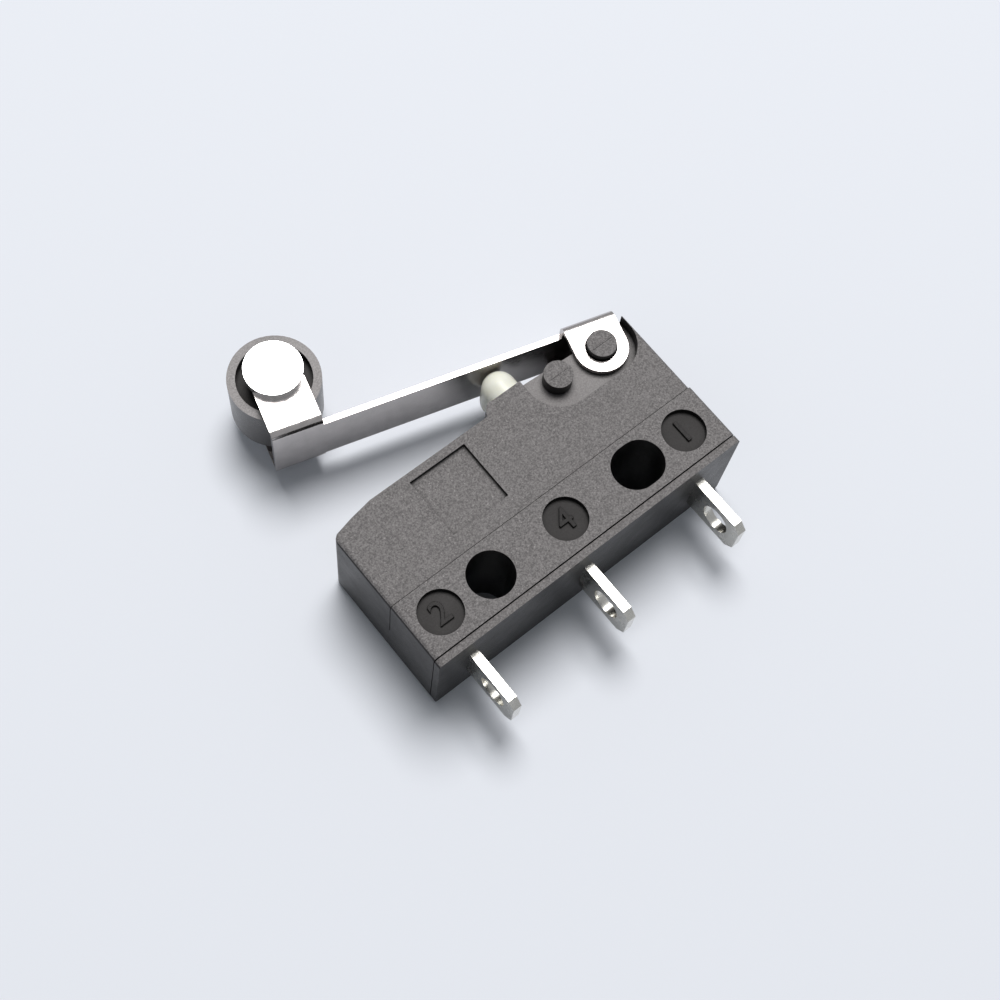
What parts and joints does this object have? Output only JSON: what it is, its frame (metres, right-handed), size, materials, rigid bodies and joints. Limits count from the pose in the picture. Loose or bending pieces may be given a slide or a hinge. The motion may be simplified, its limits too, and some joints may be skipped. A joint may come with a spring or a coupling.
{
  "type": "lever micro switch",
  "caption": "Sub-miniature snap-action switch with a black case, a hinged lever carrying a roller, solder-eye terminals and a fixing hole and slot.",
  "frame": {"origin": "axis of the round fixing hole, at the back face of the case", "axes": "+X along the case from the round hole to the slot and the lever's pivot, +Y from the terminals to the plunger and lever, +Z out of the front face along the hole"},
  "size_m": [0.0195, 0.0236, 0.0064],
  "materials": {
    "black_nylon": "black glass-filled nylon with a fine spark texture",
    "plated_brass": "brass strip with a bright silver plating",
    "silver_alloy": "silver alloy contact buttons",
    "spring_bronze": "thin spring bronze",
    "spring_wire": "drawn spring wire",
    "ivory_plastic": "ivory moulded plastic",
    "steel_sheet": "bright stainless spring sheet",
    "roller_plastic": "black moulded roller",
    "rivet_steel": "bright turned rivet"
  },
  "bodies": {
    "housing": {"case_body": "black_nylon", "front_cover": "black_nylon", "base_plate": "black_nylon", "com_terminal": "plated_brass", "no_terminal": "plated_brass", "nc_terminal": "plated_brass", "no_contact": "silver_alloy", "nc_contact": "silver_alloy"},
    "lever": {"lever": "steel_sheet", "roller_rivet": "rivet_steel"},
    "roller": {"roller": "roller_plastic"},
    "plunger": {"plunger": "ivory_plastic"},
    "actuating_arm": {"actuating_arm": "spring_bronze"},
    "contact_blade": {"contact_blade": "spring_bronze", "moving_contact": "silver_alloy"},
    "tension_spring": {"tension_spring": "spring_wire"}
  },
  "joints": [
    {"name": "lever_pivot", "type": "hinge", "parent": "housing", "child": "lever", "pos_m": [0.01255, 0.00632, 0.0032], "axis": [0, 0, 1], "range_deg": [0, 10.5], "stiffness_Nm_per_rad": 0.01, "springref_deg": -5.73},
    {"name": "roller_spin", "type": "hinge", "parent": "lever", "child": "roller", "pos_m": [-0.00163, 0.0155, 0.0032], "axis": [0, 0, 1], "continuous": true},
    {"name": "plunger_slide", "type": "slide", "parent": "housing", "child": "plunger", "axis": [0, -1, 0], "range_m": [0, 0.00098]},
    {"name": "arm_pivot", "type": "hinge", "parent": "housing", "child": "actuating_arm", "pos_m": [0.01193, 0.00462, 0.0032], "axis": [0, 0, 1], "range_deg": [0, 12.75]},
    {"name": "blade_pivot", "type": "hinge", "parent": "housing", "child": "contact_blade", "pos_m": [0.01193, 0.00337, 0.0032], "axis": [0, 0, 1], "range_deg": [0, 2.35]},
    {"name": "spring_hook", "type": "hinge", "parent": "contact_blade", "child": "tension_spring", "pos_m": [0.00055, 0.00394, 0.0032], "axis": [0, 0, 1], "range_deg": [-17, 0]}
  ],
  "couplings": [
    {"joint": "plunger_slide", "follows": "lever_pivot", "m_per_rad": 0.00531},
    {"joint": "arm_pivot", "follows": "lever_pivot", "ratio": 1.2095},
    {"joint": "blade_pivot", "follows": "lever_pivot", "ratio": 0.221},
    {"joint": "spring_hook", "follows": "lever_pivot", "ratio": -1.6033}
  ]
}
